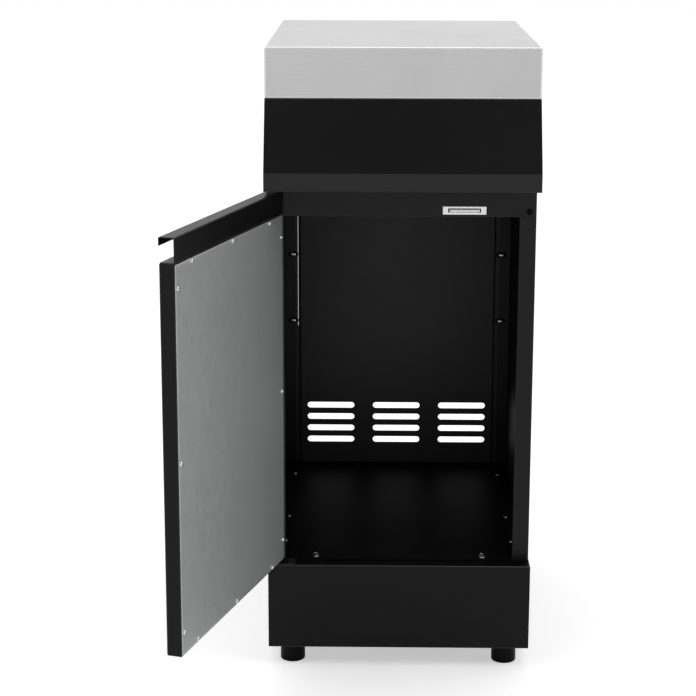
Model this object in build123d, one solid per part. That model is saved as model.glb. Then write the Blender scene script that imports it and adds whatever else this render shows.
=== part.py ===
"""Outdoor kitchen cabinet: a stainless worktop on a black folded-sheet carcass, with one door.

Lengths are in millimetres. The cabinet is drawn with X to the right, Y from its front to its back
and Z up, about the middle of the front of its base. It is written out standing under its front
left foot, with the door open.
"""
import os

from build123d import *

# Overall sizes
width = 400.0
height = 950.0
worktop_rear_overhang = 8.0
foot_height = 30.0
base_height = 134.0
skirt_height = 74.0
body_side_setback = 1.0
body_depth = 532.0

# Sheet metal
sheet = 1.2
liner_sheet = 0.8
bend_radius = 1.0
bend_clearance = 0.2
overrun = 5.0

# Worktop
worktop_return = 16.0
stiffener_crown = 28.0
stiffener_flange = 14.0
stiffener_drop = 18.0
stiffener_end_gap = 12.0
stiffener_place_shares = (0.27, 0.73)

# Fascia above the door
fascia_height = 129.5
fascia_lip = 27.0
fascia_reach = 43.0
fascia_setback = 1.5
cheek_flange = 18.0
fascia_screw_inset = 9.5
fascia_screw_height_shares = (0.36, 0.84)

# Carcass
stile_width = 25.0
stile_return = 10.0
rail_face = 47.5
rail_flange = 21.0
rear_flange = 20.0
side_top_flange = 20.0
rear_rail_height = 40.0
rear_rail_top_flange = 30.0
rear_rail_bottom_flange = 16.0
floor_notch_clearance = 0.3
floor_rear_clearance = 0.2
worktop_screw_inset = 10.0
worktop_screw_place_shares = (0.25, 0.75)

# Back panel with its vents and the slit beside the left rear corner
panel_face_side_inset = 29.0
panel_side_inset = 5.0
panel_dish = 10.0
panel_top_gap = 2.0
vent_side_gap = 13.1
vent_gap = 33.1
vent_height = 10.7
vent_pitch_z = 21.0
vent_lowest = 43.9
vent_columns = 3
vent_rows = 4
slit_width = 0.4
slit_inset = 3.2
slit_bottom = 250.0
slit_top_inset = 150.0
panel_rivet_inset = 16.2
panel_rivet_lowest = 260.0
panel_rivet_top_inset = 95.0
panel_rivet_count = 4

# Base with its ledge, floor fastenings and feet
ledge_flange = 45.0
base_rear_flange = 30.0
base_side_flange = 34.0
base_bottom_return = 15.0
floor_screw_inset = 22.0
floor_screw_places = (106.0, 223.0, 448.0)
floor_bolt_side_inset = 72.0
floor_bolt_place = 37.0
foot_side_inset = 36.0
foot_place = 32.0
foot_radius = 19.0
foot_top_gap = 0.5
stud_radius = 5.0
stud_length = 50.0
stud_head_flats = 17.0
stud_head_height = 7.0
stud_pocket_clearance = 0.2
thread_clearance = 0.05
bracket_size = 70.0
bracket_sheet = 2.0
foot_nut_flats = 17.0
foot_nut_height = 8.0

# Door
door_side_setback = 1.0
door_thickness = 22.5
door_stand_off = 4.5
door_foot_gap = 4.0
handle_top_gap = 7.2
handle_height = 34.5
handle_lip = 11.5
handle_foot_setback = 2.0
pan_return = 12.0
liner_inset = 1.8
door_stiffener_crown = 30.0
door_stiffener_flange = 15.0
door_stiffener_end_gap = 6.0
liner_screw_side_inset = 8.0
liner_screw_end_inset = 5.5
liner_screw_row_inset = 55.0
liner_screw_column_inset = 33.4
liner_screw_count = 3

# Hinge, with the angle that the door stands open at
door_open_angle = 107.4
pivot_inset = 10.0
pin_radius = 4.0
pin_clearance = 0.05
pin_collar_radius = 6.0
pin_collar_height = 1.0
bush_radius = 6.0
bush_flange_radius = 8.0
bush_flange_height = 1.5
bush_length = 12.0
bush_clearance = 0.1
upper_plate_sheet = 3.0
upper_pin_length = 31.5
lower_plate_sheet = 1.5
lower_pin_length = 21.0
hinge_plate_length = 40.0
hinge_plate_edge = 2.0
hinge_plate_side_inset = 1.5
hinge_screw_inset = 8.0
hinge_screw_spread = 7.0
block_side_gap = 1.2
block_length = 20.0
lower_block_height = 22.0
block_bore_depth = 28.0

# Catch and bumper
catch_side_inset = 107.4
catch_drop = 37.5
catch_length = 64.0
catch_height = 12.0
catch_plate_sheet = 1.5
catch_body_length = 54.0
catch_body_height = 9.6
catch_body_depth = 16.0
catch_cut_clearance = 0.3
magnet_length = 45.4
magnet_height = 5.6
magnet_depth = 9.0
magnet_clearance = 0.2
magnet_end_clearance = 1.5
closed_gap = 0.1
bumper_radius = 4.4
bumper_inset = 10.4
bumper_drop = 39.5

# Push rivets with long heads, each as a length, a height up the panel and a thickness
panel_rivet = (17.6, 8.6, 3.4)
panel_rivet_corner = 2.8

# Fasteners, of which only the heads are modelled, each as a radius and a height
fastener_sides = 8
worktop_screw = (4.0, 2.2)
fascia_screw = (4.0, 2.2)
floor_screw = (3.4, 1.8)
liner_screw = (3.3, 1.6)
hinge_screw = (3.6, 1.2)
bolt_washer = (5.2, 1.0)
bolt_flats = 8.0
bolt_head_height = 4.6

# Levels and planes that several pieces share
half_width = width / 2
half_body = half_width - body_side_setback
half_door = half_width - door_side_setback
worktop_depth = body_depth + worktop_rear_overhang
foot_spread = half_width - foot_side_inset
floor_bolt_spread = half_width - floor_bolt_side_inset
catch_place = half_width - catch_side_inset
panel_half = half_width - panel_side_inset
panel_face_half = half_width - panel_face_side_inset
vented_length = 2 * (panel_face_half - vent_side_gap) - (vent_columns - 1) * vent_gap
vent_length = vented_length / vent_columns
vent_pitch_x = vent_length + vent_gap
inside_body = half_body - sheet
nested = sheet + bend_radius + bend_clearance
half_nested = half_body - nested
outer_bend = bend_radius + sheet
base_top = foot_height + base_height
carcass_top = height - skirt_height
fascia_bottom = carcass_top - fascia_height
rail_bottom = fascia_bottom - rail_face
frame_plane = door_thickness + door_stand_off
door_bottom = base_top + door_foot_gap
handle_top = fascia_bottom - handle_top_gap
box_top = handle_top - handle_height
liner_face = door_thickness - liner_sheet
stile_inner = half_body - stile_width
floor_top = base_top + sheet
rear_rail_bottom = carcass_top - rear_rail_height
panel_top = rear_rail_bottom - panel_top_gap
upper_plate_bottom = fascia_bottom - upper_plate_sheet
lower_plate_top = base_top + lower_plate_sheet
bumper = (bumper_radius, door_stand_off - closed_gap)
pivot_x = -half_door + pivot_inset
pivot_y = door_thickness / 2


def block(x, y, z):
    """A box between two places on each axis."""
    size = Box(x[1] - x[0], y[1] - y[0], z[1] - z[0], align=(Align.MIN, Align.MIN, Align.MIN))
    return Pos(x[0], y[0], z[0]) * size


def rod_z(radius, x, y, z):
    """A round bar along Z, between the two places in z."""
    bar = Cylinder(radius, z[1] - z[0], align=(Align.CENTER, Align.CENTER, Align.MIN))
    return Pos(x, y, z[0]) * bar


def along_x(section, x):
    """A section drawn as (Y, Z), run between two places on X."""
    return extrude(Plane.YZ.offset(x[0]) * section, amount=x[1] - x[0])


def along_y(section, y):
    """A section drawn as (X, Z), run between two places on Y."""
    return extrude(Plane.XZ.offset(-y[1]) * section, amount=y[1] - y[0])


def along_z(section, z):
    """A section drawn as (X, Y), run between two places on Z."""
    return extrude(Plane.XY.offset(z[0]) * section, amount=z[1] - z[0])


def directions(path):
    """The unit direction of each straight stretch of a path."""
    points = [Vector(*point) for point in path]
    return [(after - before).normalized() for before, after in zip(points, points[1:])]


def moved_left(path, thickness):
    """The path moved to its left by a sheet's thickness, with mitred corners."""
    normals = [Vector(-way.Y, way.X) for way in directions(path)]
    befores = [normals[0]] + normals
    afters = normals + [normals[-1]]
    moved = []
    for point, before, after in zip(path, befores, afters):
        mitre = (before + after) / (1 + before.dot(after))
        place = Vector(*point) + mitre * thickness
        moved.append((place.X, place.Y))
    return moved


def fold_radii(path, thickness):
    """The bend radii along a path, and along its other face to the left."""
    ways = directions(path)
    turns_left = [before.cross(after).Z > 0 for before, after in zip(ways, ways[1:])]
    near = [bend_radius + thickness if left else bend_radius for left in turns_left]
    far = [bend_radius if left else bend_radius + thickness for left in turns_left]
    return near, far


def creased(path, thickness):
    """The section of a hidden sheet with plain corners, its thickness to the left of the path."""
    return make_face(Polyline(*path, *reversed(moved_left(path, thickness)), close=True))


def folded(path, thickness):
    """The section of a sheet folded along a path, with its thickness to the left of the path."""
    other = moved_left(path, thickness)
    near, far = fold_radii(path, thickness)
    face = FilletPolyline(*path, radius=near)
    back = FilletPolyline(*other, radius=far)
    ends = [Line(path[0], other[0]), Line(path[-1], other[-1])]
    return make_face([*face.edges(), *back.edges(), *ends])


def head(sizes):
    """The flat-sided head of a small fastener, standing on z = 0."""
    radius, rise = sizes
    return extrude(RegularPolygon(radius, fastener_sides), amount=rise)


def hexagon(flats, height_above):
    """A hexagonal prism across flats, standing on z = 0."""
    return extrude(RegularPolygon(flats / 2, 6, major_radius=False), amount=height_above)


def mirrored(shape):
    """The left-hand piece or cut that matches a right-hand one."""
    return mirror(shape, about=Plane.YZ)


def facing_front(shape, x, y, z):
    """A head that looks forwards, seated on the plane at y."""
    return Pos(x, y, z) * Rot(90, 0, 0) * shape


def facing_back(shape, x, y, z):
    """A head that looks backwards, seated on the plane at y."""
    return Pos(x, y, z) * Rot(-90, 0, 0) * shape


def facing_down(shape, x, y, z):
    """A head that looks down, seated on the plane at z."""
    return Pos(x, y, z) * Rot(180, 0, 0) * shape


# Places of the fasteners and feet
def spaced(first, last, count):
    """Evenly spaced places, both ends included."""
    step = (last - first) / (count - 1)
    return [first + i * step for i in range(count)]


def worktop_screw_places():
    y = [share * worktop_depth for share in worktop_screw_place_shares]
    x = half_width - worktop_screw_inset
    return [(side * x, place) for side in (-1, 1) for place in y]


def fascia_screw_places():
    z = [fascia_bottom + share * fascia_height for share in fascia_screw_height_shares]
    x = half_width - fascia_screw_inset
    return [(side * x, place) for side in (-1, 1) for place in z]


def panel_rivet_places():
    z = spaced(base_top + panel_rivet_lowest, carcass_top - panel_rivet_top_inset, panel_rivet_count)
    x = half_body - panel_rivet_inset
    return [(side * x, place) for side in (-1, 1) for place in z]


def floor_screw_points():
    x = half_width - floor_screw_inset
    return [(side * x, y) for side in (-1, 1) for y in floor_screw_places]


def floor_bolt_points():
    return [(side * floor_bolt_spread, floor_bolt_place) for side in (-1, 1)]


def foot_points():
    """The middle of each foot, by name."""
    rear = body_depth - foot_place
    points = {}
    for word, side in (("left", -1), ("right", 1)):
        points[f"front_{word}"] = (side * foot_spread, foot_place)
        points[f"rear_{word}"] = (side * foot_spread, rear)
    return points


def liner_screw_points():
    """A row of screws along the top and the bottom of the liner, and a column down each side."""
    ends = (door_bottom + liner_screw_end_inset, box_top - liner_screw_end_inset)
    side = half_door - liner_screw_side_inset
    reach = half_door - liner_screw_row_inset
    lowest = door_bottom + liner_screw_column_inset
    highest = box_top - liner_screw_column_inset
    along = spaced(-reach, reach, liner_screw_count)
    down = spaced(lowest, highest, liner_screw_count)
    return [(x, z) for x in along for z in ends] + [(x, z) for z in down for x in (-side, side)]


def hinge_screw_points():
    x = -half_door + hinge_plate_side_inset + hinge_plate_length - hinge_screw_inset
    return [(x, pivot_y + side * hinge_screw_spread) for side in (-1, 1)]


# The worktop and what stiffens it
def rounded_tray(outer, inner, face):
    """A folded tray: an outer box less an inner one, both rounded along the edges of one face."""
    outer = fillet(face(outer.faces()).edges(), outer_bend)
    inner = fillet(face(inner.faces()).edges(), bend_radius)
    return outer - inner


def worktop():
    """A folded box open below, with a return round its foot that rests on the carcass."""
    half_inner = half_width - sheet
    half_open = half_width - worktop_return
    outer = block((-half_width, half_width), (0, worktop_depth), (carcass_top, height))
    inner = block(
        (-half_inner, half_inner),
        (sheet, worktop_depth - sheet),
        (carcass_top + sheet, height - sheet),
    )
    opening = block(
        (-half_open, half_open),
        (worktop_return, worktop_depth - worktop_return),
        (carcass_top - overrun, carcass_top + skirt_height / 2),
    )
    return rounded_tray(outer, inner, lambda faces: faces.sort_by(Axis.Z)[-1]) - opening


def worktop_stiffener(share):
    """A hat channel under the top sheet, across the worktop."""
    middle = share * worktop_depth
    top = height - sheet - sheet
    half = stiffener_crown / 2
    path = [
        (middle - half - stiffener_flange, top),
        (middle - half, top),
        (middle - half, top - stiffener_drop),
        (middle + half, top - stiffener_drop),
        (middle + half, top),
        (middle + half + stiffener_flange, top),
    ]
    reach = half_width - stiffener_end_gap
    return along_x(creased(path, sheet), (-reach, reach))


def worktop_screws():
    flange = carcass_top - sheet
    return [facing_down(head(worktop_screw), x, y, flange) for x, y in worktop_screw_places()]


# The fascia over the door
def fascia_path():
    """The outside of the fascia from the back of its top flange, down its slope to the return."""
    return [
        (frame_plane, carcass_top),
        (fascia_setback, carcass_top),
        (-fascia_reach, fascia_bottom + fascia_lip),
        (-fascia_reach, fascia_bottom),
        (frame_plane, fascia_bottom),
    ]


def fascia():
    return along_x(folded(fascia_path(), sheet), (-half_width, half_width))


def fascia_cheek():
    """The right end plate inside the fascia, with the flange that is screwed to the carcass."""
    inside = moved_left(fascia_path(), sheet)
    radii = fold_radii(fascia_path(), sheet)[1]
    outline = FilletPolyline(*inside, radius=radii)
    plate = make_face([*outline.edges(), Line(inside[0], inside[-1])])
    cheek = along_x(plate, (half_width - sheet, half_width))
    return cheek + block(
        (half_width - cheek_flange, half_width - sheet),
        (frame_plane - sheet, frame_plane),
        (fascia_bottom + sheet, carcass_top - sheet),
    )


def fascia_screws():
    seat = frame_plane - sheet
    return [facing_front(head(fascia_screw), x, seat, z) for x, z in fascia_screw_places()]


# The carcass
def front_header():
    """The top rail of the face frame, which runs on up behind the fascia."""
    path = [
        (frame_plane + rail_flange, carcass_top),
        (frame_plane, carcass_top),
        (frame_plane, rail_bottom),
        (frame_plane + rail_flange, rail_bottom),
    ]
    rail = along_x(folded(path, sheet), (-inside_body, inside_body))
    through = (frame_plane - overrun, frame_plane + overrun)
    cut_half = catch_body_length / 2 + catch_cut_clearance
    cut_rise = catch_body_height / 2 + catch_cut_clearance
    z = fascia_bottom - catch_drop
    across = (catch_place - cut_half, catch_place + cut_half)
    return rail - block(across, through, (z - cut_rise, z + cut_rise))


def rear_rail():
    """A channel across the back of the carcass, under the worktop."""
    back = body_depth - sheet
    path = [
        (back - rear_rail_bottom_flange, rear_rail_bottom),
        (back, rear_rail_bottom),
        (back, carcass_top),
        (back - rear_rail_top_flange, carcass_top),
    ]
    return along_x(creased(path, sheet), (-half_nested, half_nested))


def side_panel():
    """The right side: stile, side wall and rear flange folded from one sheet."""
    path = [
        (stile_inner, frame_plane + stile_return),
        (stile_inner, frame_plane),
        (half_body, frame_plane),
        (half_body, body_depth),
        (half_body - rear_flange, body_depth),
    ]
    panel = along_z(folded(path, sheet), (base_top, carcass_top))
    panel -= block(
        (stile_inner - overrun, inside_body),
        (frame_plane - overrun, frame_plane + stile_return + overrun),
        (rail_bottom, carcass_top + overrun),
    )
    return panel + block(
        (half_body - side_top_flange, inside_body),
        (frame_plane + rail_flange, body_depth - sheet - rear_rail_top_flange),
        (carcass_top - sheet, carcass_top),
    )


def back_panel():
    """A dished panel behind the rear flanges, with rows of vents and one narrow slit."""
    front = body_depth - panel_dish
    path = [
        (-panel_half, body_depth),
        (-panel_face_half, body_depth),
        (-panel_face_half, front),
        (panel_face_half, front),
        (panel_face_half, body_depth),
        (panel_half, body_depth),
    ]
    panel = along_z(folded(path, sheet), (base_top, panel_top))
    vent = along_y(SlotOverall(vent_length, vent_height), (front - overrun, front + overrun))
    middle_column = (vent_columns - 1) / 2
    for column in range(vent_columns):
        for row in range(vent_rows):
            x = (column - middle_column) * vent_pitch_x
            panel -= Pos(x, 0, base_top + vent_lowest + row * vent_pitch_z) * vent
    slit_right = -panel_face_half - slit_inset
    return panel - block(
        (slit_right - slit_width, slit_right),
        (body_depth - overrun, body_depth + overrun),
        (base_top + slit_bottom, panel_top - slit_top_inset),
    )


def back_panel_rivets():
    """The long heads of the push rivets that hold the panel, reaching over the fold of its dish."""
    length, rise, thickness = panel_rivet
    seat = body_depth - sheet
    plain = block((-length / 2, length / 2), (seat - thickness, seat), (-rise / 2, rise / 2))
    long_head = chamfer(plain.edges().filter_by(Axis.Y), panel_rivet_corner)
    return [Pos(x, 0, z) * long_head for x, z in panel_rivet_places()]


# The base
def floor_panel():
    """The cabinet's floor, notched round the returns of the stiles."""
    edge = frame_plane + stile_return + floor_notch_clearance
    rear = body_depth - panel_dish - floor_rear_clearance
    floor = block((-half_nested, half_nested), (frame_plane, rear), (base_top, floor_top))
    notch = block(
        (stile_inner - floor_notch_clearance, half_body),
        (frame_plane - overrun, edge),
        (base_top - overrun, floor_top + overrun),
    )
    return floor - notch - mirrored(notch)


def without_flange_ends(plate):
    """Cuts back a base plate's flanges at both ends, where the side plates stand behind its face."""
    outside = (half_width - sheet, half_width + overrun)
    behind = block(outside, (sheet, body_depth - sheet), (0, carcass_top))
    return plate - behind - mirrored(behind)


def base_front():
    """The front of the base, whose top flange is the ledge under the door."""
    path = [
        (ledge_flange, base_top),
        (0, base_top),
        (0, foot_height),
        (base_bottom_return, foot_height),
    ]
    return without_flange_ends(along_x(folded(path, sheet), (-half_width, half_width)))


def base_rear():
    path = [
        (body_depth - base_bottom_return, foot_height),
        (body_depth, foot_height),
        (body_depth, base_top),
        (body_depth - base_rear_flange, base_top),
    ]
    return without_flange_ends(along_x(creased(path, sheet), (-half_width, half_width)))


def base_side():
    """The right side of the base, between its front and rear plates."""
    path = [
        (half_width - base_bottom_return, foot_height),
        (half_width, foot_height),
        (half_width, base_top),
        (half_width - base_side_flange, base_top),
    ]
    plate = along_y(folded(path, sheet), (sheet, body_depth - sheet))
    inward = (half_width - base_side_flange - overrun, half_width - sheet)
    top = (base_top - nested, base_top + overrun)
    bottom = (foot_height - overrun, foot_height + nested)
    rear = body_depth + overrun
    plate -= block(inward, (0, ledge_flange), top)
    plate -= block(inward, (body_depth - base_rear_flange, rear), top)
    plate -= block(inward, (0, base_bottom_return), bottom)
    return plate - block(inward, (body_depth - base_bottom_return, rear), bottom)


def floor_screws():
    return [Pos(x, y, floor_top) * head(floor_screw) for x, y in floor_screw_points()]


def floor_bolts():
    """The hexagon heads and washers of the bolts near the front of the floor."""
    washer_height = bolt_washer[1]
    bolt = head(bolt_washer) + Pos(0, 0, washer_height) * hexagon(bolt_flats, bolt_head_height)
    return [Pos(x, y, floor_top) * bolt for x, y in floor_bolt_points()]


# The feet
def foot_bracket(x, y):
    """A plate in a corner of the base with its weld nut, which carries one foot."""
    side = 1 if x > 0 else -1
    outer_x = half_width - nested
    outer_y = nested if y < body_depth / 2 else body_depth - nested
    inner_y = outer_y + bracket_size if y < body_depth / 2 else outer_y - bracket_size
    bottom = foot_height + sheet
    plate = block(
        sorted((side * outer_x, side * (outer_x - bracket_size))),
        sorted((outer_y, inner_y)),
        (bottom, bottom + bracket_sheet),
    )
    bracket = plate + Pos(x, y, bottom + bracket_sheet) * hexagon(foot_nut_flats, foot_nut_height)
    return bracket - rod_z(stud_radius + thread_clearance, x, y, (foot_height, height))


def foot_pad(x, y):
    """A round pad with a six-sided pocket in its top for the stud's head."""
    pad_top = foot_height - foot_top_gap
    pad = rod_z(foot_radius, x, y, (0, pad_top))
    pocket = hexagon(stud_head_flats + stud_pocket_clearance, stud_head_height + overrun)
    return pad - Pos(x, y, pad_top - stud_head_height) * pocket


def foot_stud(x, y):
    """The levelling stud, whose head fills the pad's pocket."""
    pad_top = foot_height - foot_top_gap
    stud = Pos(x, y, pad_top - stud_head_height) * hexagon(stud_head_flats, stud_head_height)
    return stud + rod_z(stud_radius, x, y, (pad_top, pad_top + stud_length))


# The catch and the bumper on the face frame
def catch_plate():
    """The bright front plate of the magnetic catch, with a window for the magnet."""
    z = fascia_bottom - catch_drop
    face = (frame_plane - catch_plate_sheet, frame_plane)
    plate = block(
        (catch_place - catch_length / 2, catch_place + catch_length / 2),
        face,
        (z - catch_height / 2, z + catch_height / 2),
    )
    half = magnet_length / 2 + magnet_end_clearance
    rise = magnet_height / 2 + magnet_clearance
    window = (frame_plane - overrun, frame_plane + overrun)
    return plate - block((catch_place - half, catch_place + half), window, (z - rise, z + rise))


def catch_body():
    """The housing of the catch behind the rail, with a pocket for the magnet."""
    z = fascia_bottom - catch_drop
    body = block(
        (catch_place - catch_body_length / 2, catch_place + catch_body_length / 2),
        (frame_plane, frame_plane + catch_body_depth),
        (z - catch_body_height / 2, z + catch_body_height / 2),
    )
    half = magnet_length / 2 + magnet_end_clearance
    rise = magnet_height / 2 + magnet_clearance
    pocket = (frame_plane - overrun, frame_plane + magnet_depth)
    return body - block((catch_place - half, catch_place + half), pocket, (z - rise, z + rise))


def catch_magnet():
    z = fascia_bottom - catch_drop
    return block(
        (catch_place - magnet_length / 2, catch_place + magnet_length / 2),
        (door_thickness + closed_gap, frame_plane + magnet_depth),
        (z - magnet_height / 2, z + magnet_height / 2),
    )


def door_bumper():
    """The button on the rail that the door closes against."""
    return facing_front(head(bumper), half_body - bumper_inset, frame_plane, fascia_bottom - bumper_drop)


# The hinges' fixed halves
def hinge_plate(z):
    """A flat plate that one of the door's pins is welded to."""
    left = -half_door + hinge_plate_side_inset
    return block((left, left + hinge_plate_length), (hinge_plate_edge, door_thickness), z)


def upper_hinge_plate():
    return hinge_plate((upper_plate_bottom, fascia_bottom))


def upper_hinge_pin():
    """The pin that hangs from the upper plate."""
    return rod_z(pin_radius, pivot_x, pivot_y, (upper_plate_bottom - upper_pin_length, upper_plate_bottom))


def upper_hinge_screws():
    return [facing_down(head(hinge_screw), x, y, upper_plate_bottom) for x, y in hinge_screw_points()]


def lower_hinge_plate():
    return hinge_plate((base_top, lower_plate_top))


def lower_hinge_pin():
    """The pin on the lower plate, with the collar that carries the door."""
    pin = rod_z(pin_radius, pivot_x, pivot_y, (lower_plate_top, lower_plate_top + lower_pin_length))
    collar = (lower_plate_top, lower_plate_top + pin_collar_height)
    return pin + rod_z(pin_collar_radius, pivot_x, pivot_y, collar)


def lower_hinge_screws():
    return [Pos(x, y, lower_plate_top) * head(hinge_screw) for x, y in hinge_screw_points()]


# The door, drawn closed
def door_pan():
    """The outer shell of the door: a folded tray with returns that the liner is screwed to."""
    half_inner = half_door - sheet
    half_open = half_door - pan_return
    outer = block((-half_door, half_door), (0, liner_face), (door_bottom, box_top))
    inner = block(
        (-half_inner, half_inner),
        (sheet, liner_face - sheet),
        (door_bottom + sheet, box_top - sheet),
    )
    opening = block(
        (-half_open, half_open),
        (door_thickness / 2, door_thickness + overrun),
        (door_bottom + pan_return, box_top - pan_return),
    )
    pan = rounded_tray(outer, inner, lambda faces: faces.sort_by(Axis.Y)[0]) - opening
    seat = bush_radius + bush_clearance
    return pan - rod_z(seat, pivot_x, pivot_y, (door_bottom - overrun, door_bottom + overrun))


def door_liner():
    """The bare zinc-coated sheet that closes the door's inner face."""
    half = half_door - liner_inset
    return block(
        (-half, half),
        (liner_face, door_thickness),
        (door_bottom + liner_inset, box_top - liner_inset),
    )


def door_stiffener():
    """A hat channel up the middle of the door, between its face and its liner."""
    half = door_stiffener_crown / 2
    path = [
        (-half - door_stiffener_flange, sheet),
        (-half, sheet),
        (-half, liner_face - sheet),
        (half, liner_face - sheet),
        (half, sheet),
        (half + door_stiffener_flange, sheet),
    ]
    gap = pan_return + door_stiffener_end_gap
    return along_z(creased(path, sheet), (door_bottom + gap, box_top - gap))


def door_handle():
    """The full-width pull: a channel above the door whose top ends in a turned-down lip."""
    path = [
        (handle_foot_setback, box_top),
        (door_thickness, box_top),
        (door_thickness, handle_top),
        (0, handle_top),
        (0, handle_top - handle_lip),
    ]
    channel = along_x(folded(path, sheet), (-half_door, half_door))
    seat = bush_radius + bush_clearance
    return channel - rod_z(seat, pivot_x, pivot_y, (handle_top - overrun, handle_top + overrun))


def handle_end_block():
    """The bearing block that closes the pull's hinge end."""
    left = -half_door + block_side_gap
    bottom, top = box_top + sheet, handle_top - sheet
    body = block((left, left + block_length), (nested, door_thickness - nested), (bottom, top))
    bore = (handle_top - block_bore_depth, handle_top)
    return body - rod_z(bush_radius + bush_clearance, pivot_x, pivot_y, bore)


def door_upper_bush():
    """The flanged bush in the top of the pull."""
    bush = rod_z(bush_radius, pivot_x, pivot_y, (handle_top - bush_length, handle_top))
    bush += rod_z(bush_flange_radius, pivot_x, pivot_y, (handle_top, handle_top + bush_flange_height))
    bore = (handle_top - bush_length - overrun, handle_top + overrun)
    return bush - rod_z(pin_radius + pin_clearance, pivot_x, pivot_y, bore)


def lower_hinge_block():
    """The bearing block inside the door's lower corner."""
    left = -half_door + nested
    bottom = door_bottom + sheet
    body = block(
        (left, left + block_length),
        (nested, liner_face - sheet),
        (bottom, bottom + lower_block_height),
    )
    bore = (door_bottom, bottom + lower_block_height + overrun)
    return body - rod_z(bush_radius + bush_clearance, pivot_x, pivot_y, bore)


def door_lower_bush():
    """The flanged bush that the door stands on."""
    bush = rod_z(bush_radius, pivot_x, pivot_y, (door_bottom, door_bottom + bush_length))
    bush += rod_z(bush_flange_radius, pivot_x, pivot_y, (door_bottom - bush_flange_height, door_bottom))
    bore = (door_bottom - overrun, door_bottom + bush_length + overrun)
    return bush - rod_z(pin_radius + pin_clearance, pivot_x, pivot_y, bore)


def liner_screws():
    return [facing_back(head(liner_screw), x, door_thickness, z) for x, z in liner_screw_points()]


def opened(shape):
    """Turns a piece of the closed door about its hinge to where it stands open."""
    return Pos(pivot_x, pivot_y, 0) * Rot(0, 0, -door_open_angle) * Pos(-pivot_x, -pivot_y, 0) * shape


def fixed_pieces():
    """Everything that stays with the carcass, by name."""
    pieces = {
        "worktop": worktop(),
        "worktop_stiffener_front": worktop_stiffener(stiffener_place_shares[0]),
        "worktop_stiffener_rear": worktop_stiffener(stiffener_place_shares[1]),
        "worktop_screws": worktop_screws(),
        "fascia": fascia(),
        "fascia_cheek_right": fascia_cheek(),
        "fascia_cheek_left": mirrored(fascia_cheek()),
        "fascia_screws": fascia_screws(),
        "front_header": front_header(),
        "rear_rail": rear_rail(),
        "side_panel_right": side_panel(),
        "side_panel_left": mirrored(side_panel()),
        "back_panel": back_panel(),
        "back_panel_rivets": back_panel_rivets(),
        "floor_panel": floor_panel(),
        "floor_screws": floor_screws(),
        "floor_bolts": floor_bolts(),
        "base_front": base_front(),
        "base_rear": base_rear(),
        "base_right": base_side(),
        "base_left": mirrored(base_side()),
        "catch_plate": catch_plate(),
        "catch_body": catch_body(),
        "catch_magnet": catch_magnet(),
        "door_bumper": door_bumper(),
        "upper_hinge_plate": upper_hinge_plate(),
        "upper_hinge_pin": upper_hinge_pin(),
        "upper_hinge_screws": upper_hinge_screws(),
        "lower_hinge_plate": lower_hinge_plate(),
        "lower_hinge_pin": lower_hinge_pin(),
        "lower_hinge_screws": lower_hinge_screws(),
    }
    for name, (x, y) in foot_points().items():
        pieces[f"foot_bracket_{name}"] = foot_bracket(x, y)
    return pieces


def foot_pieces():
    pieces = {}
    for name, (x, y) in foot_points().items():
        pieces[f"foot_pad_{name}"] = foot_pad(x, y)
        pieces[f"foot_stud_{name}"] = foot_stud(x, y)
    return pieces


def door_pieces():
    """Everything that swings with the door, drawn closed, by name."""
    return {
        "door_pan": door_pan(),
        "door_liner": door_liner(),
        "door_stiffener": door_stiffener(),
        "door_handle": door_handle(),
        "handle_end_block": handle_end_block(),
        "door_upper_bush": door_upper_bush(),
        "lower_hinge_block": lower_hinge_block(),
        "door_lower_bush": door_lower_bush(),
        "liner_screws": liner_screws(),
    }


def write(name, piece):
    """Writes one piece, or a group of separate ones, as its own file."""
    solids = piece if isinstance(piece, list) else [piece]
    placed = [Pos(foot_spread, -foot_place, 0) * solid for one in solids for solid in one.solids()]
    shape = placed[0] if len(placed) == 1 else Compound(children=placed)
    export_step(shape, f"parts/{name}.step")


def main():
    os.makedirs("parts", exist_ok=True)
    for name, piece in {**fixed_pieces(), **foot_pieces()}.items():
        write(name, piece)
    for name, piece in door_pieces().items():
        write(name, [opened(one) for one in piece] if isinstance(piece, list) else opened(piece))


main()
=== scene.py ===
import math
import random

import bmesh
import bpy
from mathutils import Matrix, Quaternion, Vector


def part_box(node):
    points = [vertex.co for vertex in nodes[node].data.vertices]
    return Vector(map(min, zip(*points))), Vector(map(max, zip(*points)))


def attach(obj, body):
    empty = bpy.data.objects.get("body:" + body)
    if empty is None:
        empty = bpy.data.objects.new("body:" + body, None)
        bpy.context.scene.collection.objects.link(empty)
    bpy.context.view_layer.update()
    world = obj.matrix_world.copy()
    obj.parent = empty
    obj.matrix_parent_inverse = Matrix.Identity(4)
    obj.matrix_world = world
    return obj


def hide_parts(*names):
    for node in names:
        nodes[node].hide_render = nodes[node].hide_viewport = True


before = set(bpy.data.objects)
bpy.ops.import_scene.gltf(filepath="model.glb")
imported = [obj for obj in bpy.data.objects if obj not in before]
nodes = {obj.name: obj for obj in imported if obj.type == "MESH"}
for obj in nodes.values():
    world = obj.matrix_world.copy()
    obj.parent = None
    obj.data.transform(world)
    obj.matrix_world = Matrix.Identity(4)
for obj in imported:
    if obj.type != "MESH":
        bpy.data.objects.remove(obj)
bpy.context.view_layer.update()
scene = bpy.context.scene
MM = 0.001

FRONT = Vector((0, -1, 0))
REAR = Vector((0, 1, 0))
LEFT = Vector((-1, 0, 0))
RIGHT = Vector((1, 0, 0))
UP = Vector((0, 0, 1))
DOWN = Vector((0, 0, -1))

# The way the open door's inner face looks, which its screws share
DOOR_OPEN_ANGLE = math.radians(107.4)
INTO_DOORWAY = Vector((math.sin(DOOR_OPEN_ANGLE), math.cos(DOOR_OPEN_ANGLE), 0))


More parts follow.
